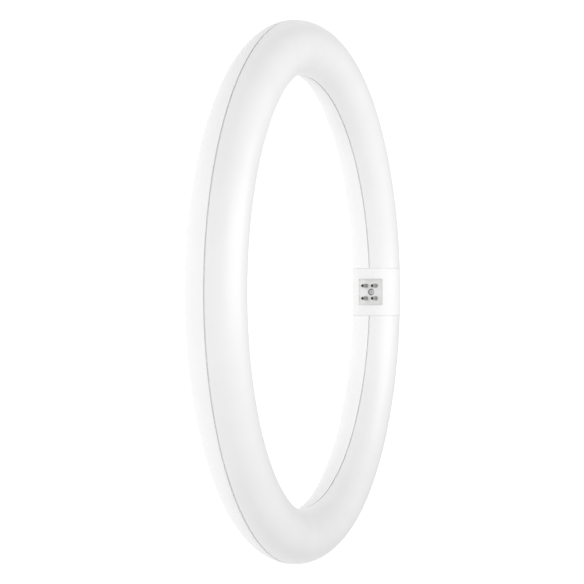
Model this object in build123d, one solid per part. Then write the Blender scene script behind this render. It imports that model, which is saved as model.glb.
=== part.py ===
from build123d import *
import os
from math import cos, radians, sin, sqrt, tan

os.makedirs("parts", exist_ok=True)

# Circular LED tube, in millimetres.
# The ring's axis is Z, its lit front half is at +Z and its pin base is at +X.
# The origin is the centre of the ring, on the plane where the two halves of the tube meet.

# Ring and tube
ring_outer_diameter = 299.0
tube_diameter = 30.0
diffuser_wall = 1.5
housing_wall = 1.8

# Lap joint between the front and rear halves
seam_gap = 0.6
lip_thickness = 0.75
tongue_thickness = 0.7
tongue_height = 2.2
fit_clearance = 0.1

# Contact pins and the pocket that they stand in
pin_spacing_tangent = 7.92
pin_spacing_axial = 6.35
pin_diameter = 2.35
pin_length = 8.6
pin_nose_length = 1.6
pin_nose_diameter = 1.4
pin_flange_diameter = 2.7
pin_flange_thickness = 0.4
pin_tail_diameter = 1.8
pin_tail_length = 6.3
pocket_margin_tangent = 4.1
pocket_margin_axial = 4.28
pocket_depth = 2.8
pocket_draft = 2.0
pocket_edge_round = 0.3
pocket_wall = 1.5
pocket_floor_thickness = 3.0

# Base, two shells clamped round the necked ends of the tube
base_proud = 0.1
base_wall = 1.5
base_edge_round = 0.15
shoulder_gap = 0.06
neck_end_clearance = 0.4
bead_length = 1.8
bead_height = 0.6
collar_rib_length = 2.822
neck_wall = 1.5
step_length = 1.5

# Screw that clamps the base
base_screw_head_diameter = 4.0
base_screw_head_height = 1.6
base_screw_shank_diameter = 2.0
base_screw_shank_length = 11.0
counterbore_depth = 2.7
seat_thickness = 1.8
boss_wall = 2.1

# LED board and the screws that hold it
board_level = -2.2
board_thickness = 1.2
board_edge_clearance = 0.8
ledge_overlap = 1.4
ledge_thickness = 1.6
led_pitch = 10.0
led_width = 2.8
led_length = 3.5
led_height = 0.7
board_screw_count = 6
board_screw_offset = 6.0
board_screw_head_diameter = 4.0
board_screw_head_height = 1.4
board_screw_shank_diameter = 2.0
board_screw_shank_length = 5.0

# Driver, under the LED board on the +Y side of the base
driver_rib_height = 2.2
driver_rib_width = 1.4
driver_rib_offset = 4.5
driver_thickness = 1.2
driver_edge_clearance = 0.6
driver_start_angle = 8.4
driver_end_angle = 48.0
lead_diameter = 1.3
lead_bend_radius = 2.0
link_pin_diameter = 1.0
jumper_thickness = 0.8
jumper_margin = 1.2

# Tube sections
tube_radius = tube_diameter / 2
ring_radius = ring_outer_diameter / 2 - tube_radius
diffuser_bore = tube_radius - diffuser_wall
housing_bore = tube_radius - housing_wall
housing_mid_wall = tube_radius - housing_wall / 2
lip_bore = tube_radius - lip_thickness
tongue_outer = lip_bore - fit_clearance
tongue_inner = tongue_outer - tongue_thickness

# Base and neck sections
base_radius = tube_radius + base_proud
bead_outer = base_radius - base_wall - fit_clearance
neck_outer = bead_outer - bead_height
neck_bore = neck_outer - neck_wall

# Pocket, whose floor lies this far from the ring's axis
floor_x = ring_radius - base_radius + pocket_depth
floor_back_x = floor_x + pocket_floor_thickness
pocket_half_tangent = pin_spacing_tangent / 2 + pocket_margin_tangent
pocket_half_axial = pin_spacing_axial / 2 + pocket_margin_axial
mouth_growth = pocket_depth * tan(radians(pocket_draft))
block_half_tangent = pocket_half_tangent + mouth_growth + pocket_wall
block_half_axial = pocket_half_axial + mouth_growth + pocket_wall

# Levels along Y, measured from the middle of the base
neck_end_y = block_half_tangent + neck_end_clearance
bead_y = neck_end_y + bead_length
base_half_length = bead_y + fit_clearance + collar_rib_length
shoulder_y = base_half_length + shoulder_gap
step_y = shoulder_y + step_length
board_end_y = step_y + board_edge_clearance

# Screw levels along X
seat_x = floor_x + counterbore_depth
clamp_x = seat_x + seat_thickness
boss_radius = base_screw_shank_diameter / 2 + boss_wall

# Boards
board_top = board_level + board_thickness
board_half_width = sqrt(housing_bore**2 - board_level**2) - board_edge_clearance
ledge_inner = board_half_width - ledge_overlap
driver_level = -housing_bore + driver_rib_height
driver_top = driver_level + driver_thickness
driver_half_width = sqrt(housing_bore**2 - driver_level**2) - driver_edge_clearance
headroom = board_level - driver_top
board_boss_radius = board_screw_shank_diameter / 2 + 1.4

BIG = 4 * tube_radius


def band(low, high):
    """Strip of the section plane between two levels."""
    return Pos(0, (low + high) / 2) * Rectangle(BIG, high - low)


def annulus(outer, inner):
    """Ring-shaped section of the tube's wall."""
    return Circle(outer) - Circle(inner)


def turned(section):
    """Section drawn about the tube's centreline, turned all the way round the ring's axis."""
    return revolve(Plane.XZ * Pos(ring_radius, 0) * section, Axis.Z)


def mid_zone(half):
    """Block across the tube at the base, up to a level either side of the middle."""
    return Pos(ring_radius, 0, 0) * Box(BIG, 2 * half, BIG)


def end_zones(near, far):
    """Two blocks across the tube, one either side of the base."""
    block = Box(BIG, far - near, BIG)
    middle = (near + far) / 2
    return Pos(ring_radius, middle, 0) * block + Pos(ring_radius, -middle, 0) * block


def at(angle, offset, level):
    """Place in the tube: angle round the ring, offset outward from the centreline, level."""
    return Rot(0, 0, angle) * Pos(ring_radius + offset, 0, level)


def point_at(angle, offset, level):
    """The same place as a point."""
    reach = ring_radius + offset
    return Vector(reach * cos(radians(angle)), reach * sin(radians(angle)), level)


def tube_ends(side):
    """Step, neck and bead at both ends of one half; side is +1 for the front, -1 for the rear."""
    low = min(0, side * BIG)
    high = max(0, side * BIG)
    half = band(low, high)
    reveal = annulus(BIG, tongue_outer) & band(-seam_gap / 2, seam_gap / 2)
    step = (annulus(tube_radius, neck_bore) & half) - reveal
    neck = annulus(neck_outer, neck_bore) & half
    bead = annulus(bead_outer, neck_bore) & half
    ends = turned(step) & end_zones(shoulder_y, step_y)
    ends += turned(neck) & end_zones(neck_end_y, shoulder_y)
    ends += turned(bead) & end_zones(neck_end_y, bead_y)
    return ends


def front_diffuser():
    wall = annulus(tube_radius, diffuser_bore) & band(seam_gap / 2, BIG)
    rebate = Circle(lip_bore) & band(-BIG, tongue_height)
    return turned(wall - rebate) - mid_zone(step_y) + tube_ends(1)


def board_screw_angles():
    """Even spacing from the end of the driver round to the other side of the base."""
    first = driver_end_angle + 10
    step = (340 - first) / (board_screw_count - 1)
    return [first + step * k for k in range(board_screw_count)]


def along_driver(section):
    """Section turned only along the length of the driver board."""
    turn = driver_end_angle - driver_start_angle
    return Rot(0, 0, driver_start_angle) * revolve(Plane.XZ * Pos(ring_radius, 0) * section, Axis.Z, turn)


def driver_ribs():
    """Two rails on the bottom of the housing that carry the driver board."""
    strip = band(-BIG, driver_level) & Circle(housing_mid_wall)
    rail = Rectangle(driver_rib_width, BIG)
    rails = Pos(-driver_rib_offset, 0) * rail + Pos(driver_rib_offset, 0) * rail
    return along_driver(strip & rails)


def rear_housing():
    wall = annulus(tube_radius, housing_bore) & band(-BIG, -seam_gap / 2)
    wall += annulus(tongue_outer, tongue_inner) & band(-seam_gap, tongue_height)
    ledges = band(board_level - ledge_thickness, board_level) & annulus(housing_mid_wall, 0.1)
    wall += ledges - Rectangle(2 * ledge_inner, BIG)
    housing = turned(wall) - mid_zone(step_y) + tube_ends(-1) + driver_ribs()
    core = turned(Circle(housing_mid_wall))
    tall = Cylinder(board_boss_radius, tube_radius, align=(Align.CENTER, Align.CENTER, Align.MAX))
    bore_radius = board_screw_shank_diameter / 2 + fit_clearance / 2
    bore_depth = board_screw_shank_length
    bore = Cylinder(bore_radius, bore_depth, align=(Align.CENTER, Align.CENTER, Align.MAX))
    for angle in board_screw_angles():
        place = at(angle, board_screw_offset, board_level)
        housing += (place * tall) & core
        housing -= place * bore
    return housing


def link_places():
    """Angle and offset of the two pins that carry the driver's output up to the LED board."""
    return [(driver_end_angle - 1.5, side * 0.6 * driver_half_width) for side in (-1, 1)]


def led_board():
    outer = Cylinder(ring_radius + board_half_width, board_thickness)
    inner = Cylinder(ring_radius - board_half_width, 2 * board_thickness)
    board = Pos(0, 0, board_level + board_thickness / 2) * (outer - inner) - mid_zone(board_end_y)
    screw_hole = Cylinder(board_screw_shank_diameter / 2 + 0.3, BIG)
    link_hole = Cylinder(link_pin_diameter / 2 + fit_clearance, BIG)
    for angle in board_screw_angles():
        board -= at(angle, board_screw_offset, 0) * screw_hole
    for angle, offset in link_places():
        board -= at(angle, offset, 0) * link_hole
    return board


def leds():
    """One row along the middle of the board."""
    margin = board_end_y + led_length
    start = margin / ring_radius * 57.29578
    span = 360 - 2 * start
    count = int(span * ring_radius / 57.29578 / led_pitch)
    chip = Box(led_width, led_length, led_height, align=(Align.CENTER, Align.CENTER, Align.MIN))
    return [at(start + span * k / count, 0, board_top) * chip for k in range(count + 1)]


def cross_recess(size, depth):
    """Cross cut in a screw's head, from its top down."""
    down = (Align.CENTER, Align.CENTER, Align.MAX)
    return Box(size, size / 4, depth, align=down) + Box(size / 4, size, depth, align=down)


def board_screws():
    """The screws that hold the LED board on its bosses."""
    up = (Align.CENTER, Align.CENTER, Align.MIN)
    down = (Align.CENTER, Align.CENTER, Align.MAX)
    screw = Cylinder(board_screw_head_diameter / 2, board_screw_head_height, align=up)
    length = board_screw_shank_length + board_thickness - 0.5
    screw += Cylinder(board_screw_shank_diameter / 2, length, align=down)
    return [at(angle, board_screw_offset, board_top) * screw for angle in board_screw_angles()]


def driver_board():
    return along_driver(band(driver_level, driver_top) & Rectangle(2 * driver_half_width, BIG))


def driver_angle(fraction):
    """Angle of a place along the driver board, from 0 at its base end to 1."""
    return driver_start_angle + fraction * (driver_end_angle - driver_start_angle)


def chip_package(length, width, height, legs, pitch):
    """Moulded body with gull-wing legs down both long sides, standing at level zero."""
    up = (Align.CENTER, Align.CENTER, Align.MIN)
    part = Pos(0, 0, 0.15) * Box(width, length, height, align=up)
    foot = Box(0.9, 0.4, 0.15, align=up)
    riser = Box(0.3, 0.4, height / 2, align=up)
    for side in (-1, 1):
        for k in range(legs):
            along = (k - (legs - 1) / 2) * pitch
            part += Pos(side * (width / 2 + 0.6), along, 0) * foot
            part += Pos(side * (width / 2 + 0.1), along, 0) * riser
    return part


def input_fuse():
    """Radial fuse standing on the board."""
    can = Cylinder(0.32 * driver_half_width, 0.7 * headroom, align=(Align.CENTER, Align.CENTER, Align.MIN))
    return at(driver_angle(0.16), -0.45 * driver_half_width, driver_top) * can


def bridge_rectifier():
    return at(driver_angle(0.16), 0.42 * driver_half_width, driver_top) * chip_package(4.7, 2.6, 2.0, 2, 2.5)


def input_capacitor():
    height = 0.85 * headroom
    up = (Align.CENTER, Align.CENTER, Align.MIN)
    box = Box(0.85 * driver_half_width, 10.0, height, align=up)
    box = fillet(box.edges().filter_by(Axis.Z), 0.6)
    return at(driver_angle(0.34), 0, driver_top) * box


def choke_coil():
    """Drum core with its winding between two flanges."""
    height = 0.78 * headroom
    radius = 0.5 * driver_half_width
    up = (Align.CENTER, Align.CENTER, Align.MIN)
    drum = Cylinder(0.8 * radius, height, align=up)
    drum += Cylinder(radius, 0.18 * height, align=up)
    drum += Pos(0, 0, 0.82 * height) * Cylinder(radius, 0.18 * height, align=up)
    return at(driver_angle(0.5), 0, driver_top) * drum


def driver_chip():
    return at(driver_angle(0.63), 0, driver_top) * chip_package(4.9, 3.9, 1.45, 4, 1.27)


def bulk_capacitor():
    """Electrolytic can lying along the board, its crimp towards the base."""
    radius = 0.41 * headroom
    length = 11.0
    can = Rot(90, 0, 0) * Cylinder(radius, length)
    groove = Rot(90, 0, 0) * (Cylinder(2 * radius, 0.9) - Cylinder(0.88 * radius, 0.9))
    can -= Pos(0, -0.5 * length + 2.0, 0) * groove
    return at(driver_angle(0.8), 0, driver_top + radius) * can


def base_blank():
    """Outside of the base: a short length of the ring, a little fatter than the tube."""
    blank = turned(Circle(base_radius)) & mid_zone(base_half_length)
    ends = [e for e in blank.edges() if abs(abs(e.center().Y) - base_half_length) < 0.01]
    return fillet(ends, base_edge_round)


def base_cavity():
    """Room inside the base for the beads and necks of the tube's two ends."""
    cavity = turned(Circle(bead_outer + fit_clearance)) & mid_zone(bead_y + fit_clearance)
    return cavity + (turned(Circle(neck_outer + fit_clearance)) & mid_zone(2 * base_half_length))


def facing_in(x, y, z):
    """Place whose local Z points from the base towards the ring's centre."""
    return Pos(x, y, z) * Rot(0, -90, 0)


def pin_places():
    """Tangent and axial position of the four pins, the +Y pair first."""
    return [(sy * pin_spacing_tangent / 2, sz * pin_spacing_axial / 2) for sy in (1, -1) for sz in (-1, 1)]


def pocket_mouth(shell):
    """The four edges where the pocket opens through the outside of the base."""
    edges = [e for e in shell.edges() if e.center().X < floor_x - pocket_edge_round]
    middles = [(e, abs(e.center().Y), abs(e.center().Z)) for e in edges]
    mouth = [e for e, y, z in middles if z < 1 and abs(y - pocket_half_tangent) < pocket_edge_round]
    return mouth + [e for e, y, z in middles if y < 1 and abs(z - pocket_half_axial) < pocket_edge_round]


def base_inner_shell():
    blank = base_blank()
    inner_side = Pos(ring_radius - BIG / 2, 0, 0) * Box(BIG, BIG, BIG)
    shell = (blank - base_cavity()) & inner_side
    up = (Align.CENTER, Align.CENTER, Align.MIN)
    block = Box(2 * block_half_axial, 2 * block_half_tangent, BIG / 2, align=up)
    shell += (facing_in(floor_back_x, 0, 0) * block) & blank
    floor = Rectangle(2 * pocket_half_axial, 2 * pocket_half_tangent)
    pocket = extrude(floor, 1.5 * pocket_depth, taper=-pocket_draft)
    shell -= facing_in(floor_x, 0, 0) * pocket
    shell = fillet(pocket_mouth(shell), pocket_edge_round)
    boss = Cylinder(boss_radius + 0.4, clamp_x - floor_back_x, align=up)
    shell += facing_in(clamp_x, 0, 0) * boss
    head_room = base_screw_head_diameter / 2 + 0.15
    shell -= facing_in(seat_x, 0, 0) * Cylinder(head_room, counterbore_depth, align=up)
    shank_room = base_screw_shank_diameter / 2 + 0.3
    shell -= facing_in(clamp_x, 0, 0) * Cylinder(shank_room, seat_thickness, align=up)
    tail_room = pin_tail_diameter / 2 + fit_clearance / 2
    for y, z in pin_places():
        shell -= facing_in(floor_x, y, z) * Cylinder(tail_room, 3 * pocket_floor_thickness)
    return shell


def base_outer_shell():
    outer_side = Pos(ring_radius + BIG / 2, 0, 0) * Box(BIG, BIG, BIG)
    blank = base_blank()
    shell = (blank - base_cavity()) & outer_side
    down = (Align.CENTER, Align.CENTER, Align.MAX)
    boss_length = ring_radius + bead_outer + base_wall / 2 - clamp_x
    shell += facing_in(clamp_x, 0, 0) * Cylinder(boss_radius, boss_length, align=down) & blank
    bore_radius = base_screw_shank_diameter / 2 + fit_clearance / 2
    shell -= facing_in(clamp_x, 0, 0) * Cylinder(bore_radius, base_screw_shank_length, align=down)
    return shell


def base_screw():
    """Pan head with a cross recess, its seat on the floor of the counterbore."""
    up = (Align.CENTER, Align.CENTER, Align.MIN)
    down = (Align.CENTER, Align.CENTER, Align.MAX)
    head = Cylinder(base_screw_head_diameter / 2, base_screw_head_height, align=up)
    head = chamfer(head.edges().group_by(Axis.Z)[-1], base_screw_head_height / 3)
    cross = cross_recess(base_screw_head_diameter * 0.55, base_screw_head_height * 0.6)
    head -= Pos(0, 0, base_screw_head_height) * cross
    screw = head + Cylinder(base_screw_shank_diameter / 2, base_screw_shank_length, align=down)
    return facing_in(seat_x, 0, 0) * screw


def contact_pin(y, z):
    up = (Align.CENTER, Align.CENTER, Align.MIN)
    down = (Align.CENTER, Align.CENTER, Align.MAX)
    shaft_length = pin_length - pin_nose_length
    pin = Cylinder(pin_diameter / 2, shaft_length, align=up)
    nose = Cone(pin_diameter / 2, pin_nose_diameter / 2, pin_nose_length, align=up)
    pin += Pos(0, 0, shaft_length) * nose
    pin += Cylinder(pin_flange_diameter / 2, pin_flange_thickness, align=up)
    pin += Cylinder(pin_tail_diameter / 2, pin_tail_length, align=down)
    return facing_in(floor_x, y, z) * pin


def lead(points):
    """Insulated wire along straight runs joined by arcs."""
    radii = []
    for a, b, c in zip(points, points[1:], points[2:]):
        before = b - a
        after = c - b
        room = 0.45 * min(before.length, after.length)
        radii.append(min(lead_bend_radius, room / tan(radians(before.get_angle(after) / 2))))
    path = FilletPolyline(*points, radius=radii)
    start = Plane(origin=points[0], z_dir=points[1] - points[0])
    return sweep(start * Circle(lead_diameter / 2), path=path)


def pin_leads():
    """Leads from the tails of the fed pair, through the neck of the tube, down to the driver board."""
    start_x = floor_x + pin_tail_length
    pad_angle = driver_angle(0.025)
    pad_offset = 0.5 * driver_half_width
    runs = []
    for (y, z), offset in zip(pin_places()[:2], (pad_offset, -pad_offset)):
        points = [Vector(start_x, y, z)]
        points.append(Vector(start_x + 3 * lead_diameter, y, z))
        points.append(point_at(pad_angle, offset, driver_top + 0.45 * headroom))
        points.append(point_at(pad_angle, offset, driver_top))
        runs.append(lead(points))
    return runs


def pin_jumper():
    """Strip against the back of the pocket that links the tails of the other pair."""
    hole = Circle(pin_tail_diameter / 2 + fit_clearance / 2)
    width = pin_tail_diameter + 2 * jumper_margin
    strip = Pos(0, -pin_spacing_tangent / 2) * Rectangle(pin_spacing_axial + width, width)
    strip -= Circle(boss_radius + 0.4 + 2 * fit_clearance)
    for y, z in pin_places()[2:]:
        strip -= Pos(z, y) * hole
    return facing_in(floor_back_x + jumper_thickness, 0, 0) * extrude(strip, jumper_thickness)


def output_links():
    """Two stiff pins from the driver's output up through the LED board."""
    length = board_top + 0.3 - driver_top
    pin = Cylinder(link_pin_diameter / 2, length, align=(Align.CENTER, Align.CENTER, Align.MIN))
    return [at(angle, offset, driver_top) * pin for angle, offset in link_places()]


def write(name, shape):
    solids = shape if isinstance(shape, list) else [shape]
    pieces = [s for item in solids for s in item.solids()]
    export_step(pieces[0] if len(pieces) == 1 else Compound(children=pieces), f"parts/{name}.step")


write("front_diffuser", front_diffuser())
write("rear_housing", rear_housing())
write("led_board", led_board())
write("leds", leds())
write("board_screws", board_screws())
write("driver_board", driver_board())
write("input_fuse", input_fuse())
write("bridge_rectifier", bridge_rectifier())
write("input_capacitor", input_capacitor())
write("choke_coil", choke_coil())
write("driver_chip", driver_chip())
write("bulk_capacitor", bulk_capacitor())
write("base_inner_shell", base_inner_shell())
write("base_outer_shell", base_outer_shell())
write("base_screw", base_screw())
for number, (y, z) in enumerate(pin_places(), 1):
    write(f"contact_pin_{number}", contact_pin(y, z))
for number, wire in enumerate(pin_leads(), 1):
    write(f"pin_lead_{number}", wire)
write("pin_jumper", pin_jumper())
for name, pin in zip(("output_link_minus", "output_link_plus"), output_links()):
    write(name, pin)
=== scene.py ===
# %% [markdown]
# # A circular LED tube
# This lesson dresses a ring-shaped lamp. The frame already holds every solid of the lamp at its real size,
# so nothing here is moved or resized. We give the pieces that show a finer mesh, give every surface a
# finish, and then set the floor and the light.

# %% Load the frame
from math import asin, atan2, cos, degrees, pi, radians, sin, sqrt

import bmesh
import bpy
from mathutils import Matrix, Vector


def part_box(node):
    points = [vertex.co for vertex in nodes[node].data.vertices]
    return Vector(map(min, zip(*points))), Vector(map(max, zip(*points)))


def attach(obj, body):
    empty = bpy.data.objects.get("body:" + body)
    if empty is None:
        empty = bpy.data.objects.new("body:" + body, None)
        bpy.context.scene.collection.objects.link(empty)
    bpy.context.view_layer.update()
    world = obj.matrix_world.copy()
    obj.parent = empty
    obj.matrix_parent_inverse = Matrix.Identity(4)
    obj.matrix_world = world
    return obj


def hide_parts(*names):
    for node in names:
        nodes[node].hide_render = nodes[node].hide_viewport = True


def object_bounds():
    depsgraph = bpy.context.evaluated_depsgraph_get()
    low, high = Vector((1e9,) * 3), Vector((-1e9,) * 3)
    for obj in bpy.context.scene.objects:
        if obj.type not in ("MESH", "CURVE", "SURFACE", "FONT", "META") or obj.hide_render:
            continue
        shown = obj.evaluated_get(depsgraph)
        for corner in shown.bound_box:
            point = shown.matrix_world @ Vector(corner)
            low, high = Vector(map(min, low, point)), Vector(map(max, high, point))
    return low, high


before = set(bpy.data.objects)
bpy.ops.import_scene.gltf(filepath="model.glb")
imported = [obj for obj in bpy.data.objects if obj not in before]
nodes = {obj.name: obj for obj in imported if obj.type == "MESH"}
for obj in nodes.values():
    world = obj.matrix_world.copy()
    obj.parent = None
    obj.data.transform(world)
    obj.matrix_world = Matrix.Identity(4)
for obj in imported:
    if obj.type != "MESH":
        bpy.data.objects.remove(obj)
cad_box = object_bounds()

MM = 0.001
print("pieces in the frame:", len(nodes))

# %% [markdown]
# ## The camera comes first
# The photograph looks at the ring from beside its rim, a little above the plane of the ring, with a long
# lens. Here the ring lies flat on the floor, so the camera is rolled a quarter turn: its "up" is the ring's
# Y axis. With the camera in place, every later step can be compared with the photograph.

# %% Camera
VIEW_TILT = radians(71.03)
VIEW_DISTANCE = 883.8 * MM
LENS_MM, SENSOR_MM = 97.95, 36.0
FRAME_PIXELS, CENTRE_OFFSET_PIXELS = 584, 15.8
CLIP_NEAR, CLIP_FAR = 0.01, 50.0

camera_data = bpy.data.cameras.new("camera")
camera_data.lens = LENS_MM
camera_data.sensor_width = SENSOR_MM
camera_data.shift_x = -CENTRE_OFFSET_PIXELS / FRAME_PIXELS
camera_data.clip_start = CLIP_NEAR
camera_data.clip_end = CLIP_FAR
camera = bpy.data.objects.new("camera", camera_data)
back = Vector((-sin(VIEW_TILT), 0, cos(VIEW_TILT)))
up = Vector((0, 1, 0))
right = up.cross(back)
turn = Matrix((right, up, back)).transposed().to_4x4()
camera.matrix_world = Matrix.Translation(back * VIEW_DISTANCE) @ turn
bpy.context.scene.collection.objects.link(camera)
bpy.context.scene.camera = camera
print("camera at", [round(c, 3) for c in camera.location])

# %% [markdown]
# ## The ring and its tube
# The tube is a round section carried round a circle. The depth of the rear half gives the radius of the
# section. How far that half reaches sideways, at the edge of the seam, gives the radius of the circle.

# %% Ring and tube
ORIGIN = Vector((0, 0, 0))
Z_AXIS = Vector((0, 0, 1))
SEAM_HALF = 0.3 * MM
housing_low, housing_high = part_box("rear_housing")
TUBE_RADIUS = -housing_low[2]
RING_RADIUS = -housing_low[0] - sqrt(TUBE_RADIUS**2 - SEAM_HALF**2)
print("ring radius, tube radius in mm:", round(RING_RADIUS / MM, 2), round(TUBE_RADIUS / MM, 2))

# %% [markdown]
# ## Finishes
# Moulded plastic is never one flat colour. Light from a large lamp shows faint cloudiness in the colour, a
# gloss that varies a little, and the fine spark-eroded texture of the mould. All three come from noise on
# Object coordinates, so they stay fixed to the piece. What is the same all over, such as the refractive
# index, is set on the shader itself.


# %% Nodes that the finishes share
def start_finish(name, metallic):
    """New material, with its node tree, its shader and the coordinates of the piece that wears it."""
    material = bpy.data.materials.new(name)
    material.use_nodes = True
    tree = material.node_tree
    shader = tree.nodes["Principled BSDF"]
    shader.inputs["Metallic"].default_value = metallic
    where = tree.nodes.new("ShaderNodeTexCoord").outputs["Object"]
    return material, tree, shader, where


def add_noise(tree, where, scale, detail):
    """Noise of one scale; returns the output with its value."""
    noise = tree.nodes.new("ShaderNodeTexNoise")
    noise.inputs["Scale"].default_value = scale
    noise.inputs["Detail"].default_value = detail
    tree.links.new(where, noise.inputs["Vector"])
    return noise.outputs["Fac"]


def vary_gloss(tree, shader, noise, rough):
    """Lets noise move the roughness between two values."""
    gloss = tree.nodes.new("ShaderNodeMapRange")
    gloss.inputs["To Min"].default_value = rough[0]
    gloss.inputs["To Max"].default_value = rough[1]
    tree.links.new(noise, gloss.inputs["Value"])
    tree.links.new(gloss.outputs["Result"], shader.inputs["Roughness"])


def add_relief(tree, shader, noise, strength, depth):
    """Lets noise raise the surface by a small depth."""
    relief = tree.nodes.new("ShaderNodeBump")
    relief.inputs["Strength"].default_value = strength
    relief.inputs["Distance"].default_value = depth
    tree.links.new(noise, relief.inputs["Height"])
    tree.links.new(relief.outputs["Normal"], shader.inputs["Normal"])


# %% Clouded finish
CLOUD_DETAIL, GRAIN_DETAIL = 3.0, 2.0
CLOUD_DARK, CLOUD_LIGHT = 0.3, 0.7
GRAIN_STRENGTH = 0.25


def clouded_finish(name, dark, light, rough, cloud, grain, depth, metallic=0.0, ior=1.5, specular=0.5):
    """Finish with clouded colour, clouded gloss and a fine grain; cloud and grain are noise scales."""
    material, tree, shader, where = start_finish(name, metallic)
    shader.inputs["IOR"].default_value = ior
    shader.inputs["Specular IOR Level"].default_value = specular

    clouds = add_noise(tree, where, cloud, CLOUD_DETAIL)
    colour = tree.nodes.new("ShaderNodeValToRGB")
    colour.color_ramp.elements[0].position = CLOUD_DARK
    colour.color_ramp.elements[1].position = CLOUD_LIGHT
    colour.color_ramp.elements[0].color = (*dark, 1)
    colour.color_ramp.elements[1].color = (*light, 1)
    tree.links.new(clouds, colour.inputs["Fac"])
    tree.links.new(colour.outputs["Color"], shader.inputs["Base Color"])

    vary_gloss(tree, shader, clouds, rough)
    grains = add_noise(tree, where, grain, GRAIN_DETAIL)
    add_relief(tree, shader, grains, GRAIN_STRENGTH, depth)
    return material


# %% The white plastics
opal = clouded_finish(
    "opal_diffuser", (0.805, 0.805, 0.805), (0.825, 0.825, 0.825), (0.36, 0.42), 40, 2600, 0.02 * MM,
    ior=1.58,
)
housing_white = clouded_finish(
    "housing_white", (0.875, 0.875, 0.875), (0.895, 0.895, 0.895), (0.55, 0.62), 40, 2600, 0.02 * MM,
    specular=0.25,
)
base_white = clouded_finish(
    "base_white", (0.835, 0.835, 0.833), (0.855, 0.855, 0.853), (0.45, 0.52), 120, 3000, 0.02 * MM,
    specular=0.4,
)
print("white plastics:", opal.name, housing_white.name, base_white.name)

# %% [markdown]
# ## The halves of the tube
# Each half is a moulded C-section carried round the ring, and its mould would be turned on a lathe. Spin
# does the same here. First a vertex is spun about the tube's centreline to draw each arc of the section,
# then the arcs are joined into a closed outline, and the outline is spun about the ring's axis. That keeps
# the lap joint real: the rear half has a tongue that stands up inside the lip of the front half, and between
# the two rims runs the narrow reveal that shows as a grey line in the photograph. The rims are rounded, so
# that they catch light.

# %% Sizes of the two sections
DIFFUSER_BORE = TUBE_RADIUS - 1.5 * MM
HOUSING_BORE = TUBE_RADIUS - 1.8 * MM
LIP_BORE = TUBE_RADIUS - 0.75 * MM
TONGUE_OUTER = LIP_BORE - 0.15 * MM
TONGUE_INNER = LIP_BORE - 0.8 * MM
TONGUE_TOP = housing_high[2]
FRONT_RIM_ROUND, REAR_RIM_ROUND = 0.2 * MM, 0.3 * MM
REAR_RIM_SET_BACK = 0.1 * MM
LEDGE_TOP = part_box("led_board")[0][2]
LEDGE_LOW = LEDGE_TOP - 1.6 * MM
LEDGE_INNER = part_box("led_board")[1][1] - RING_RADIUS - 1.4 * MM
print("bores of the halves in mm:", round(DIFFUSER_BORE / MM, 2), round(HOUSING_BORE / MM, 2))


# %% Drawing a section with spin
def arc(bm, centre, radius, start, end, steps):
    """Edges along part of a circle in the section plane, in degrees; returns the two end vertices."""
    hub = Vector((RING_RADIUS + centre[0], 0, centre[1]))
    begin = hub + radius * Vector((cos(radians(start)), 0, sin(radians(start))))
    first = bm.verts.new(begin)
    sweep = radians(end - start)
    spun = bmesh.ops.spin(bm, geom=[first], cent=hub, axis=(0, -1, 0), angle=sweep, steps=steps)
    last = [g for g in spun["geom_last"] if isinstance(g, bmesh.types.BMVert)]
    return first, last[0]


def level_angle(level, radius):
    """Angle at which a circle about the tube's centreline reaches a level, in degrees."""
    return degrees(asin(level / radius))


def wall_arc(bm, radius, start_level, end_level, steps):
    """Arc about the tube's centreline from one level to another."""
    start = level_angle(start_level, radius)
    end = level_angle(end_level, radius)
    return arc(bm, (0, 0), radius, start, end, steps)


def corner(bm, offset, level):
    """Single vertex of the section, from its offset and level."""
    return bm.verts.new((RING_RADIUS + offset, 0, level))


def chain(bm, *verts):
    """Straight edges from each vertex to the next."""
    for a, b in zip(verts, verts[1:]):
        bm.edges.new((a, b))


# %% Rim and mirror
RIM_STEPS, OUTSIDE_STEPS = 5, 30
SAME_PLACE = 1e-6


def rim(bm, side, size, set_back):
    """Rounded rim and outer wall of one half; returns the vertex at the rim's seam end."""
    level = SEAM_HALF + set_back + size
    reach = TUBE_RADIUS - size
    lean = level_angle(level, reach)
    hub = (reach * cos(radians(lean)), side * level)
    seam_end, _ = arc(bm, hub, size, -90 * side, lean * side, RIM_STEPS)
    arc(bm, (0, 0), TUBE_RADIUS, lean * side, 90 * side, OUTSIDE_STEPS)
    return seam_end


def mirror_section(bm):
    """Copies the outer side of the section to the side that faces the ring's centre."""
    to_middle = Matrix.Translation((-RING_RADIUS, 0, 0))
    half = bm.verts[:] + bm.edges[:]
    bmesh.ops.mirror(bm, geom=half, matrix=to_middle, axis="X", merge_dist=SAME_PLACE)
    bmesh.ops.remove_doubles(bm, verts=bm.verts[:], dist=SAME_PLACE)


# %% The two sections
def diffuser_section(bm):
    """Outline of the front half: rim, lip and inner wall."""
    seam_end = rim(bm, 1, FRONT_RIM_ROUND, 0)
    lip_a, lip_b = wall_arc(bm, LIP_BORE, SEAM_HALF, TONGUE_TOP, steps=3)
    wall_a, _ = wall_arc(bm, DIFFUSER_BORE, TONGUE_TOP, DIFFUSER_BORE, steps=26)
    chain(bm, seam_end, lip_a)
    chain(bm, lip_b, wall_a)
    mirror_section(bm)


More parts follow.
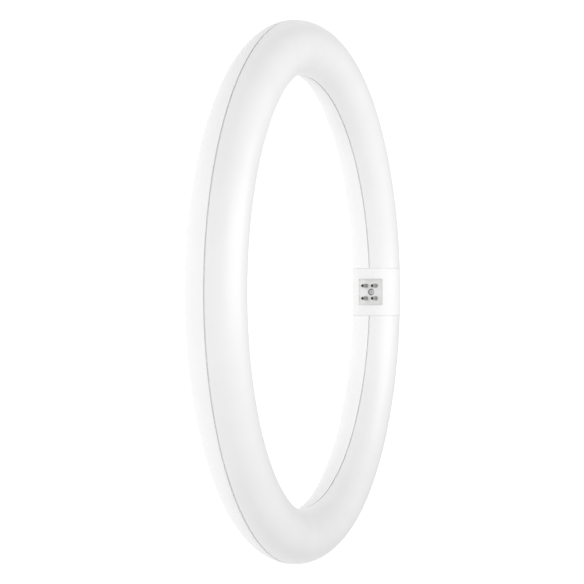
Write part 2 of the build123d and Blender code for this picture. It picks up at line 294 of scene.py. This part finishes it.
def housing_section(bm):
    """Outline of the rear half: rim, tongue, and inner wall with the ledge for the LED board."""
    seam_end = rim(bm, -1, REAR_RIM_ROUND, REAR_RIM_SET_BACK)
    shelf = -SEAM_HALF - REAR_RIM_SET_BACK
    out_a, out_b = wall_arc(bm, TONGUE_OUTER, shelf, TONGUE_TOP, steps=4)
    in_a, in_b = wall_arc(bm, TONGUE_INNER, TONGUE_TOP, -SEAM_HALF, steps=4)
    top_a, top_b = wall_arc(bm, HOUSING_BORE, -SEAM_HALF, LEDGE_TOP, steps=2)
    low_a, _ = wall_arc(bm, HOUSING_BORE, LEDGE_LOW, -HOUSING_BORE, steps=24)
    ledge = [corner(bm, LEDGE_INNER, LEDGE_TOP), corner(bm, LEDGE_INNER, LEDGE_LOW)]
    chain(bm, seam_end, out_a)
    chain(bm, out_b, in_a)
    chain(bm, in_b, top_a)
    chain(bm, top_b, *ledge, low_a)
    mirror_section(bm)


# %% [markdown]
# ## Spinning the section round the ring
# The ends of the tube are cut square to the base, not along the ring's radius. So after the spin every
# vertex slides a little along its own circle until the two ends lie on flat planes. The circles stay
# circles, and the wall stays as thick as it was.

# %% Where the tube ends
BASE_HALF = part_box("base_outer_shell")[1][1]
SHOULDER_Y = BASE_HALF + 0.06 * MM
RING_STEPS = 240
print("the tube ends at Y in mm:", round(SHOULDER_Y / MM, 2))


# %% Spin and square ends
def spin_section(bm, start, end, steps):
    """Spins the section about the ring's axis between two angles."""
    bmesh.ops.rotate(bm, verts=bm.verts[:], cent=ORIGIN, matrix=Matrix.Rotation(start, 3, "Z"))
    section = bm.verts[:] + bm.edges[:]
    bmesh.ops.spin(bm, geom=section, cent=ORIGIN, axis=Z_AXIS, angle=end - start, steps=steps)


def slide_to_planes(bm, start, end, start_y, end_y):
    """Slides each vertex round the ring, so that the ends at two angles come to lie on two planes."""
    for v in bm.verts:
        reach = v.co.xy.length
        angle = atan2(v.co.y, v.co.x) % (2 * pi)
        share = (angle - start) / (end - start)
        first = asin(start_y / reach) % (2 * pi)
        last = asin(end_y / reach) % (2 * pi)
        angle = first + share * (last - first)
        v.co.x = reach * cos(angle)
        v.co.y = reach * sin(angle)


def close_ends(bm):
    """Fills the open ends of a spun section and turns all its faces outwards."""
    bmesh.ops.edgeloop_fill(bm, edges=[e for e in bm.edges if e.is_boundary])
    bmesh.ops.recalc_face_normals(bm, faces=bm.faces[:])


def spin_between(bm, start_y, end_y, steps):
    """Spins the section between two planes, the long way round where the second is behind the first."""
    start = asin(start_y / RING_RADIUS) % (2 * pi)
    end = asin(end_y / RING_RADIUS) % (2 * pi)
    spin_section(bm, start, end, steps)
    slide_to_planes(bm, start, end, start_y, end_y)
    close_ends(bm)


# %% [markdown]
# ## Necks inside the base
# Inside the base each half steps down to a narrower neck, and a bead at the end of the neck keeps the base
# from sliding off. Step, neck and bead are each half of a round wall, spun between two planes on one side
# of the base and mirrored to the other.

# %% Necks
STEP_Y = SHOULDER_Y + 1.5 * MM
BEAD_Y = BASE_HALF - 2.922 * MM
NECK_END_Y = BEAD_Y - 1.8 * MM
BEAD_OUTER = TUBE_RADIUS - 1.5 * MM
NECK_OUTER = BEAD_OUTER - 0.6 * MM
NECK_BORE = NECK_OUTER - 1.5 * MM
NECK_ARC_STEPS, NECK_RING_STEPS = 32, 3


def neck_section(bm, side, inner, outer):
    """Half of a round wall, on the front side or the rear side of the seam."""
    out_a, out_b = arc(bm, (0, 0), outer, 0, 180 * side, NECK_ARC_STEPS)
    in_a, in_b = arc(bm, (0, 0), inner, 0, 180 * side, NECK_ARC_STEPS)
    chain(bm, out_a, in_a)
    chain(bm, out_b, in_b)


def absorb(bm, part):
    """Adds the faces of a finished part to a piece."""
    holder = bpy.data.meshes.new("part")
    part.to_mesh(holder)
    part.free()
    bm.from_mesh(holder)
    bpy.data.meshes.remove(holder)


def add_necks(bm, side, bore):
    """Step, neck and bead at both ends of one half."""
    for inner, outer, near, far in (
        (NECK_BORE, bore, SHOULDER_Y, STEP_Y),
        (NECK_BORE, NECK_OUTER, NECK_END_Y, SHOULDER_Y),
        (NECK_OUTER, BEAD_OUTER, NECK_END_Y, BEAD_Y),
    ):
        part = bmesh.new()
        neck_section(part, side, inner, outer)
        spin_between(part, near, far, NECK_RING_STEPS)
        everything = part.verts[:] + part.edges[:] + part.faces[:]
        bmesh.ops.mirror(part, geom=everything, axis="Y", merge_dist=0)
        bmesh.ops.recalc_face_normals(part, faces=part.faces[:])
        absorb(bm, part)


# %% [markdown]
# ## The front half
# With these helpers the front half takes a few lines: draw its section, spin it, add its necks. A mesh
# becomes a piece of the lamp when it rides on a body of the frame and takes its finishes, and the solid that
# it stands for is hidden.

# %% Making a piece
SHARP_ANGLE = radians(35)


def make_piece(name, bm, materials, slot, *replaced):
    """Turns a bmesh into a piece of the lamp that rides on the frame."""
    mesh = bpy.data.meshes.new(name)
    bm.to_mesh(mesh)
    bm.free()
    mesh.shade_smooth()
    mesh.set_sharp_from_angle(angle=SHARP_ANGLE)
    for material in materials:
        mesh.materials.append(material)
    piece = bpy.data.objects.new(name, mesh)
    bpy.context.scene.collection.objects.link(piece)
    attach(piece, "root")
    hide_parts(*replaced)
    print(name, "faces:", len(mesh.polygons))


# %% Front half
bm = bmesh.new()
diffuser_section(bm)
spin_between(bm, SHOULDER_Y, -SHOULDER_Y, RING_STEPS)
add_necks(bm, 1, DIFFUSER_BORE)
make_piece("diffuser", bm, [opal], "opal_plastic", "front_diffuser")

# %% [markdown]
# ## Rails and bosses inside the rear half
# The driver board stands on two rails that are moulded into the bottom of the rear half, and the LED board
# is screwed to six bosses. The closed lamp hides them, but the boards would float without them. A rail is a
# small section that is spun along the driver's stretch of the ring. A boss is a turned post with a hole for
# its screw, and its foot is set down on the curved wall.

# %% Rails under the driver board
DRIVER_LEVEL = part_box("driver_board")[0][2]
RAIL_WIDTH, RAIL_OFFSET = 1.4 * MM, 4.5 * MM
RAIL_START, RAIL_END, RAIL_STEPS = radians(8.4), radians(48.0), 30


def wall_level(offset):
    """Level of the rear half's inner wall at an offset from the tube's centreline."""
    return -sqrt(HOUSING_BORE**2 - offset**2)


def add_rails(bm):
    """Two rails from the inner wall up to the driver board."""
    for side in (-1, 1):
        near = side * RAIL_OFFSET - RAIL_WIDTH / 2
        far = near + RAIL_WIDTH
        part = bmesh.new()
        foot = [corner(part, offset, wall_level(offset)) for offset in (near, far)]
        top = [corner(part, offset, DRIVER_LEVEL) for offset in (far, near)]
        chain(part, *foot, *top, foot[0])
        spin_section(part, RAIL_START, RAIL_END, RAIL_STEPS)
        close_ends(part)
        absorb(bm, part)


# %% Bosses under the LED board
BOSS_RADIUS, BOSS_HEIGHT, BOSS_OFFSET = 2.4 * MM, 9.0 * MM, 6.0 * MM
BOSS_BORE, BOSS_BORE_DEPTH = 1.05 * MM, 5.0 * MM
BOSS_COUNT, BOSS_STEPS = 6, 32
FIRST_BOSS, LAST_BOSS = radians(58), radians(340)


def turned_piece(profile, steps):
    """Lathe piece about Z, from pairs of radius and height that start and end on the axis."""
    bm = bmesh.new()
    chain(bm, *[bm.verts.new((radius, 0, height)) for radius, height in profile])
    line = bm.verts[:] + bm.edges[:]
    bmesh.ops.spin(
        bm, geom=line, cent=ORIGIN, axis=Z_AXIS, angle=2 * pi, steps=steps, use_merge=True
    )
    bmesh.ops.remove_doubles(bm, verts=bm.verts[:], dist=SAME_PLACE)
    bmesh.ops.recalc_face_normals(bm, faces=bm.faces[:])
    return bm


def add_bosses(bm):
    """Bosses along the ring, each with its foot on the inner wall."""
    profile = (
        (0, -BOSS_BORE_DEPTH),
        (BOSS_BORE, -BOSS_BORE_DEPTH),
        (BOSS_BORE, 0),
        (BOSS_RADIUS, 0),
        (BOSS_RADIUS, -BOSS_HEIGHT),
        (0, -BOSS_HEIGHT),
    )
    reach = RING_RADIUS + BOSS_OFFSET
    for number in range(BOSS_COUNT):
        part = turned_piece(profile, BOSS_STEPS)
        foot = [v for v in part.verts if v.co.z < -BOSS_BORE_DEPTH - SAME_PLACE]
        angle = FIRST_BOSS + number * (LAST_BOSS - FIRST_BOSS) / (BOSS_COUNT - 1)
        spot = Vector((reach * cos(angle), reach * sin(angle), LEDGE_TOP))
        bmesh.ops.translate(part, verts=part.verts[:], vec=spot)
        for v in foot:
            v.co.z = wall_level(v.co.xy.length - RING_RADIUS)
        absorb(bm, part)


# %% Rear half
bm = bmesh.new()
housing_section(bm)
spin_between(bm, SHOULDER_Y, -SHOULDER_Y, RING_STEPS)
add_necks(bm, -1, HOUSING_BORE)
add_rails(bm)
add_bosses(bm)
make_piece("housing", bm, [housing_white], "white_plastic", "rear_housing")

# %% [markdown]
# ## The base
# The two shells of the base keep their solids, which already have the drafted pocket and the rounded ends,
# and so does the plated screw that clamps them. They only need a finish: a white plastic of the same family
# as the tube's for the shells, and zinc for the screw.


# %% Finish of the base and its screw
def dress(name, material):
    """Gives a solid of the frame a finish."""
    nodes[name].material_slots[0].material = material
    print(name, "wears", material.name)


zinc = clouded_finish(
    "zinc_screw", (0.52, 0.52, 0.53), (0.66, 0.66, 0.66), (0.3, 0.45), 900, 6000, 0.01 * MM, metallic=1.0
)
dress("base_inner_shell", base_white)
dress("base_outer_shell", base_white)
dress("base_screw", zinc)

# %% [markdown]
# ## Contact pins
# Four hollow pins stand in the pocket. Each is a turned part: a tail that goes through the floor of the
# pocket, a flange that stops it there, a shaft, and a tapered nose with a small bore. A turned part is a
# profile spun about its axis, so that is how it is made here, and the rounded corners are bevels on its
# rings of edges.

# %% Turning a pin
PIN_RADIUS, PIN_LENGTH = 1.175 * MM, 8.6 * MM
FLANGE_RADIUS, FLANGE_HEIGHT = 1.35 * MM, 0.4 * MM
TAIL_RADIUS, TAIL_LENGTH = 0.9 * MM, 6.3 * MM
NOSE_RADIUS, NOSE_LENGTH = 0.68 * MM, 1.6 * MM
NOSE_BORE, NOSE_BORE_DEPTH, NOSE_BORE_POINT = 0.5 * MM, 2.0 * MM, 2.6 * MM
NOSE_ROUND, SHOULDER_ROUND, FLANGE_ROUND = 0.08 * MM, 0.6 * MM, 0.12 * MM
PIN_STEPS = 40


def round_ring(bm, radius, height, size, segments):
    """Rounds the ring of edges at one radius and height of a turned piece."""
    level = [v for v in bm.verts if abs(v.co.z - height) < SAME_PLACE]
    near = {v for v in level if abs(v.co.xy.length - radius) < SAME_PLACE}
    ring = [e for e in bm.edges if e.verts[0] in near and e.verts[1] in near]
    bmesh.ops.bevel(bm, geom=ring, offset=size, affect="EDGES", segments=segments, profile=0.5, material=-1)


def turned_pin():
    """Pin about Z, with the floor of the pocket at zero height."""
    bm = turned_piece(
        (
            (0, -TAIL_LENGTH),
            (TAIL_RADIUS, -TAIL_LENGTH),
            (TAIL_RADIUS, 0),
            (FLANGE_RADIUS, 0),
            (FLANGE_RADIUS, FLANGE_HEIGHT),
            (PIN_RADIUS, FLANGE_HEIGHT),
            (PIN_RADIUS, PIN_LENGTH - NOSE_LENGTH),
            (NOSE_RADIUS, PIN_LENGTH),
            (NOSE_BORE, PIN_LENGTH),
            (NOSE_BORE, PIN_LENGTH - NOSE_BORE_DEPTH),
            (0, PIN_LENGTH - NOSE_BORE_POINT),
        ),
        PIN_STEPS,
    )
    round_ring(bm, PIN_RADIUS, PIN_LENGTH - NOSE_LENGTH, SHOULDER_ROUND, segments=4)
    round_ring(bm, NOSE_RADIUS, PIN_LENGTH, NOSE_ROUND, segments=3)
    round_ring(bm, FLANGE_RADIUS, FLANGE_HEIGHT, FLANGE_ROUND, segments=3)
    return bm


# %% [markdown]
# ### Their finish
# The plating has dulled to a soft grey. A ramp along the pin's length paints the very tip nearly black, a
# painted dark reflection, and keeps the grey a little lighter towards the nose than near the pocket floor.
# The bore has a near-black finish of its own, which is painted shade. Noise that is squeezed along the pin
# gives the fine rings that a lathe leaves.

# %% Colour along a pin
pin_low, pin_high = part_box("contact_pin_1")
POCKET_FLOOR_X = pin_high[0] - TAIL_LENGTH
PIN_TIP_X = pin_low[0]

pin_metal, tree, shader, where = start_finish("dulled_nickel_painted_tip", 1.0)
axes = tree.nodes.new("ShaderNodeSeparateXYZ")
tree.links.new(where, axes.inputs["Vector"])
along = tree.nodes.new("ShaderNodeMapRange")
along.inputs["From Min"].default_value = PIN_TIP_X
along.inputs["From Max"].default_value = POCKET_FLOOR_X
tree.links.new(axes.outputs["X"], along.inputs["Value"])
tone = tree.nodes.new("ShaderNodeValToRGB")
tree.links.new(along.outputs["Result"], tone.inputs["Fac"])
tree.links.new(tone.outputs["Color"], shader.inputs["Base Color"])
stops = tone.color_ramp.elements
# The first stop paints a dark reflection on the very tip, nearly black; the others are a little lighter near
# the nose than near the floor of the pocket.
stops[0].position = 0.006
stops[0].color = (0.035, 0.033, 0.03, 1)
stops[1].position = 1.0
stops[1].color = (0.36, 0.35, 0.33, 1)
for position, value in ((0.02, 0.40), (0.32, 0.44), (0.5, 0.36)):
    stop = stops.new(position)
    stop.color = (value, 0.98 * value, 0.95 * value, 1)
print("stops of colour along a pin:", len(stops))

# %% Lathe rings and the bore's painted shade
LATHE_SCALE = (9000, 250, 250)
LATHE_STRENGTH, LATHE_DEPTH = 0.3, 0.01 * MM
PIN_ROUGH = (0.28, 0.42)

squeezed = tree.nodes.new("ShaderNodeMapping")
squeezed.inputs["Scale"].default_value = LATHE_SCALE
tree.links.new(where, squeezed.inputs["Vector"])
rings = add_noise(tree, squeezed.outputs["Vector"], 1.0, GRAIN_DETAIL)
vary_gloss(tree, shader, rings, PIN_ROUGH)
add_relief(tree, shader, rings, LATHE_STRENGTH, LATHE_DEPTH)
# The bore's near-black finish is painted shade inside the hole of the nose.
bore_painted_shade = clouded_finish(
    "painted_bore_shade", (0.02, 0.02, 0.02), (0.05, 0.048, 0.045), (0.5, 0.7), 2500, 9000, 0.01 * MM
)
print("finishes of a pin:", pin_metal.name, bore_painted_shade.name)

# %% Place the pins
for number in range(1, 5):
    low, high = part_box(f"contact_pin_{number}")
    spot = Matrix.Translation((POCKET_FLOOR_X, (low[1] + high[1]) / 2, (low[2] + high[2]) / 2))
    bm = turned_pin()
    # Faces inside the bore of the nose take the painted shade.
    for face in bm.faces:
        middle = face.calc_center_median()
        face.material_index = int(middle.z > PIN_LENGTH / 2 and middle.xy.length < NOSE_BORE)
    bmesh.ops.transform(bm, matrix=spot @ Matrix.Rotation(radians(-90), 4, "Y"), verts=bm.verts[:])
    make_piece(f"pin_{number}", bm, [pin_metal, bore_painted_shade], "pin_metal", f"contact_pin_{number}")

# %% [markdown]
# ## The row of LEDs
# Each LED is a white moulded package with a window of yellow phosphor. One is made from a cube whose corners
# are bevelled and whose top is inset for the window, and spin then repeats it round the ring.

# %% Finishes of an LED
package_white = clouded_finish(
    "package_white", (0.80, 0.80, 0.78), (0.86, 0.86, 0.84), (0.35, 0.45), 800, 5000, 0.005 * MM
)
phosphor = clouded_finish(
    "phosphor", (0.80, 0.58, 0.10), (0.88, 0.68, 0.16), (0.5, 0.65), 1500, 9000, 0.01 * MM
)
print("finishes of an LED:", package_white.name, phosphor.name)

# %% One LED
LED_WIDTH, LED_LENGTH, LED_HEIGHT = 2.8 * MM, 3.5 * MM, 0.7 * MM
LED_CORNER, LED_RIM, LED_WINDOW_DEPTH = 0.2 * MM, 0.35 * MM, 0.12 * MM
led_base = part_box("leds")[0][2]

bm = bmesh.new()
place = Matrix.Translation((RING_RADIUS, 0, led_base + LED_HEIGHT / 2))
size = Matrix.Diagonal((LED_WIDTH, LED_LENGTH, LED_HEIGHT, 1))
bmesh.ops.create_cube(bm, size=1.0, matrix=place @ size)
corners = [e for e in bm.edges if abs(e.verts[0].co.z - e.verts[1].co.z) > LED_HEIGHT / 2]
bmesh.ops.bevel(bm, geom=corners, offset=LED_CORNER, affect="EDGES", segments=2, profile=0.5, material=-1)
window = max(bm.faces, key=lambda face: face.calc_center_median().z)
bmesh.ops.inset_region(bm, faces=[window], thickness=LED_RIM, depth=-LED_WINDOW_DEPTH)
window.material_index = 1
print("faces of one LED:", len(bm.faces))

# %% The row
LED_SPACES = 80
LED_MARGIN = 0.8 * MM
led_start = (STEP_Y + LED_MARGIN + LED_LENGTH) / RING_RADIUS

bmesh.ops.rotate(bm, verts=bm.verts[:], cent=ORIGIN, matrix=Matrix.Rotation(led_start, 3, "Z"))
bmesh.ops.spin(
    bm, geom=bm.verts[:] + bm.edges[:] + bm.faces[:], cent=ORIGIN, axis=Z_AXIS,
    angle=2 * pi - 2 * led_start, steps=LED_SPACES, use_duplicate=True,
)
bmesh.ops.recalc_face_normals(bm, faces=bm.faces[:])
make_piece("led_row", bm, [package_white, phosphor], "led_package", "leds")

# %% [markdown]
# ## Inside the tube
# Nobody sees the driver unless the lamp is opened, but each part still gets the finish that it has on the
# bench: a white board that throws the light forward, a green driver board, a dipped red capacitor, a sleeved
# can, black epoxy, zinc screws and plain tinned links.

# %% Boards, screws and links
board_white = clouded_finish(
    "board_white", (0.80, 0.81, 0.80), (0.86, 0.87, 0.86), (0.35, 0.5), 60, 3000, 0.01 * MM
)
board_green = clouded_finish(
    "board_green", (0.02, 0.12, 0.05), (0.04, 0.18, 0.08), (0.3, 0.45), 200, 3000, 0.02 * MM
)
tinned = clouded_finish(
    "tinned_link", (0.58, 0.57, 0.55), (0.68, 0.67, 0.65), (0.25, 0.4), 900, 6000, 0.01 * MM, metallic=1.0
)
lead_white = clouded_finish(
    "lead_white", (0.70, 0.70, 0.68), (0.78, 0.78, 0.76), (0.4, 0.5), 300, 3000, 0.01 * MM
)
dress("led_board", board_white)
dress("board_screws", zinc)
dress("driver_board", board_green)
for name in ("pin_jumper", "output_link_minus", "output_link_plus"):
    dress(name, tinned)
for name in ("pin_lead_1", "pin_lead_2"):
    dress(name, lead_white)

# %% Parts on the driver board
dipped_red = clouded_finish(
    "dipped_red", (0.38, 0.04, 0.02), (0.48, 0.07, 0.03), (0.2, 0.35), 200, 1500, 0.03 * MM
)
dark_sleeve = clouded_finish(
    "dark_sleeve", (0.02, 0.022, 0.04), (0.03, 0.034, 0.06), (0.2, 0.3), 200, 2500, 0.01 * MM
)
ferrite = clouded_finish(
    "ferrite", (0.03, 0.028, 0.028), (0.06, 0.055, 0.055), (0.5, 0.7), 400, 2500, 0.03 * MM
)
black_epoxy = clouded_finish(
    "black_epoxy", (0.012, 0.012, 0.013), (0.025, 0.025, 0.026), (0.4, 0.55), 400, 4000, 0.01 * MM
)
dress("input_capacitor", dipped_red)
dress("bulk_capacitor", dark_sleeve)
dress("choke_coil", ferrite)
for name in ("input_fuse", "bridge_rectifier", "driver_chip"):
    dress(name, black_epoxy)

# %% [markdown]
# ## Floor and light
# The photograph is high-key: a white object on a white ground with hardly any shadow. A floor that glows
# evenly, like a light table, gives the ground and lights the rear half from below. A white sky that is
# bright behind the camera and dark towards the two ends of the ring shapes the tube, and one soft lamp above
# draws the long highlight.

# %% Floor
FLOOR_RADIUS, FLOOR_STEPS = 6.0, 96
FLOOR_GREY = (0.12, 0.12, 0.12, 1)
WHITE = (1, 1, 1, 1)

bm = bmesh.new()
bmesh.ops.create_circle(bm, cap_ends=True, segments=FLOOR_STEPS, radius=FLOOR_RADIUS)
bmesh.ops.translate(bm, verts=bm.verts[:], vec=(0, 0, cad_box[0][2]))
floor_mesh = bpy.data.meshes.new("floor")
bm.to_mesh(floor_mesh)
bm.free()
floor = bpy.data.objects.new("floor", floor_mesh)
bpy.context.scene.collection.objects.link(floor)
floor_white = bpy.data.materials.new("floor_white")
floor_white.use_nodes = True
glow = floor_white.node_tree.nodes["Principled BSDF"]
glow.inputs["Base Color"].default_value = FLOOR_GREY
glow.inputs["Roughness"].default_value = 1.0
glow.inputs["Specular IOR Level"].default_value = 0.0
glow.inputs["Emission Color"].default_value = WHITE
glow.inputs["Emission Strength"].default_value = 1.0
floor_mesh.materials.append(floor_white)
print("floor at Z in mm:", round(cad_box[0][2] / MM, 2))

# %% Arithmetic for the sky
world = bpy.data.worlds.new("sky")
bpy.context.scene.world = world
world.use_nodes = True
sky = world.node_tree


def sky_vector(operation, first, second=None):
    """One step of arithmetic on the direction that the sky is seen in."""
    node = sky.nodes.new("ShaderNodeVectorMath")
    node.operation = operation
    sky.links.new(first, node.inputs[0])
    if isinstance(second, tuple):
        node.inputs[1].default_value = second
    elif second is not None:
        sky.links.new(second, node.inputs[1])
    return node.outputs["Value" if operation == "DOT_PRODUCT" else "Vector"]


# %% Sky
SKY_BEHIND_CAMERA, SKY_FAR_SIDE = 1.14, 0.50
SKY_LOWER_END, SKY_UPPER_END = 0.46, 0.03
SKY_OVERHEAD = 0.83

mean_light = ((SKY_FAR_SIDE + SKY_BEHIND_CAMERA) / 2, (SKY_UPPER_END + SKY_LOWER_END) / 2, SKY_OVERHEAD)
half_change = ((SKY_FAR_SIDE - SKY_BEHIND_CAMERA) / 2, (SKY_UPPER_END - SKY_LOWER_END) / 2, 0.0)
direction = sky.nodes.new("ShaderNodeTexCoord").outputs["Generated"]
squares = sky_vector("MULTIPLY", direction, direction)
signed_squares = sky_vector("MULTIPLY", direction, sky_vector("ABSOLUTE", direction))
total = sky.nodes.new("ShaderNodeMath")
sky.links.new(sky_vector("DOT_PRODUCT", squares, mean_light), total.inputs[0])
sky.links.new(sky_vector("DOT_PRODUCT", signed_squares, half_change), total.inputs[1])
background = sky.nodes["Background"]
background.inputs["Color"].default_value = WHITE
sky.links.new(total.outputs["Value"], background.inputs["Strength"])
print("sky brightness from", SKY_UPPER_END, "to", SKY_BEHIND_CAMERA)

# %% Soft lamp
LAMP_LENGTH, LAMP_WIDTH = 0.95, 0.5
LAMP_POWER = 3.25
LAMP_PLACE = (-0.08, 0.17, 0.74)

lamp_data = bpy.data.lights.new("softbox", "AREA")
lamp_data.shape = "RECTANGLE"
lamp_data.size = LAMP_LENGTH
lamp_data.size_y = LAMP_WIDTH
lamp_data.energy = LAMP_POWER
lamp = bpy.data.objects.new("softbox", lamp_data)
lamp.location = LAMP_PLACE
bpy.context.scene.collection.objects.link(lamp)
print("lamp at", LAMP_PLACE)

# %% Picture settings
view = bpy.context.scene.view_settings
view.view_transform = "Standard"
view.look = "None"
print("view transform:", view.view_transform)
